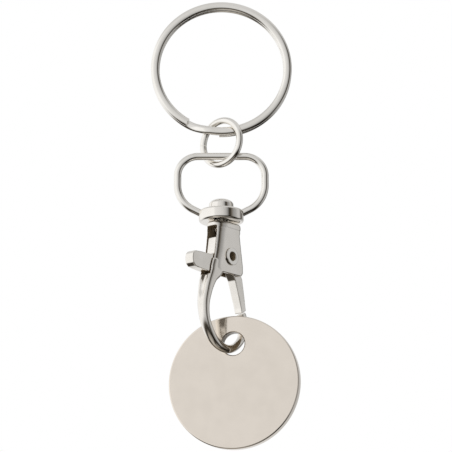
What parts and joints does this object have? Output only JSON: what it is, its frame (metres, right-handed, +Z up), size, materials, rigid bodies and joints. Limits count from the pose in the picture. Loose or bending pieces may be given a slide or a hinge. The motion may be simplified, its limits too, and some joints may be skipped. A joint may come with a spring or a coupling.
{
  "type": "coin holder keyring",
  "caption": "Nickel keyring with a split ring, a jump ring, a swivel trigger hook and a plain shopping trolley coin hung on the hook.",
  "frame": {"origin": "inner top of the split ring, where it hangs from a peg or a key's bow", "axes": "+Z up, against the hang of the keyring; the split ring and the swivel loop face along Y, and the hook and the coin are turned; -Y is the front"},
  "size_m": [0.026, 0.013, 0.0797],
  "materials": {
    "ring_nickel": "bright nickel plate",
    "cast_nickel": "bright nickel plate on a casting",
    "coin_nickel": "polished nickel plate",
    "spring_steel": "bare spring wire"
  },
  "bodies": {
    "split_ring_body": {"split_ring": "ring_nickel"},
    "jump_ring_body": {"jump_ring": "ring_nickel"},
    "loop_body": {"swivel_loop": "ring_nickel", "swivel_collar": "cast_nickel"},
    "hook": {"hook_body": "cast_nickel", "swivel_stud": "cast_nickel", "gate_rivet": "ring_nickel", "gate_spring": "spring_steel"},
    "gate": {"gate_lever": "cast_nickel"},
    "coin_body": {"coin": "coin_nickel"}
  },
  "joints": [
    {"name": "jump_ring_slide", "type": "hinge", "parent": "split_ring_body", "child": "jump_ring_body", "pos_m": [0, 0, -0.011], "axis": [0, 1, 0], "continuous": true},
    {"name": "loop_swing", "type": "hinge", "parent": "jump_ring_body", "child": "loop_body", "pos_m": [0, 0, -0.02717], "axis": [1, 0, 0], "range_deg": [-120, 120]},
    {"name": "hook_swivel", "type": "hinge", "parent": "loop_body", "child": "hook", "pos_m": [0, 0, -0.03807], "axis": [0, 0, 1], "continuous": true},
    {"name": "gate_pivot", "type": "hinge", "parent": "hook", "child": "gate", "pos_m": [0.00055, 0.00065, -0.04527], "axis": [-0.766, 0.6428, 0], "range_deg": [0, 27], "stiffness_Nm_per_rad": 0.02, "springref_deg": -17.19},
    {"name": "coin_swing", "type": "hinge", "parent": "hook", "child": "coin_body", "pos_m": [0.00224, 0.00238, -0.06015], "axis": [0.2419, 0.9703, 0], "range_deg": [-30, 30]}
  ]
}
